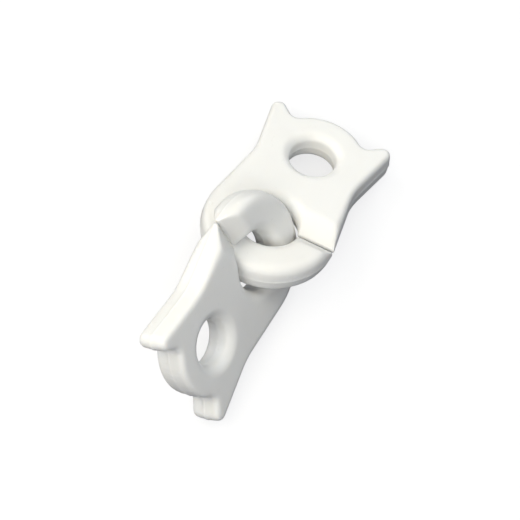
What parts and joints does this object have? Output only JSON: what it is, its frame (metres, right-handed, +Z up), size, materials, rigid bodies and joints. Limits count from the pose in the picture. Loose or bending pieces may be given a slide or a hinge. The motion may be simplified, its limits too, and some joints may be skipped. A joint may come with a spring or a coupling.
{
  "type": "linked sister clips",
  "caption": "Linked pair of flat moulded sister clips: each has a rope eye between two horns and a wide round ring with a V-grooved opening; the rings are linked and swing on each other.",
  "frame": {"origin": "the middle of the linked pair's box, on the surface that it lies on", "axes": "X runs along the pair from clip B's eye end to clip A's eye end, Y runs across it, and Z points up from the surface"},
  "size_m": [0.068, 0.0268, 0.0246],
  "materials": {
    "nylon_a": "satin moulded white nylon",
    "nylon_b": "satin moulded white nylon"
  },
  "bodies": {
    "first_clip": {"clip_a": "nylon_a"},
    "second_clip": {"clip_b": "nylon_b"}
  },
  "joints": [
    {"name": "ring_swing", "type": "hinge", "parent": "first_clip", "child": "second_clip", "pos_m": [-0.00415, 0.00016, 0.01198], "axis": [0.0465, -0.8281, 0.5587], "range_deg": [-115, 75]}
  ]
}
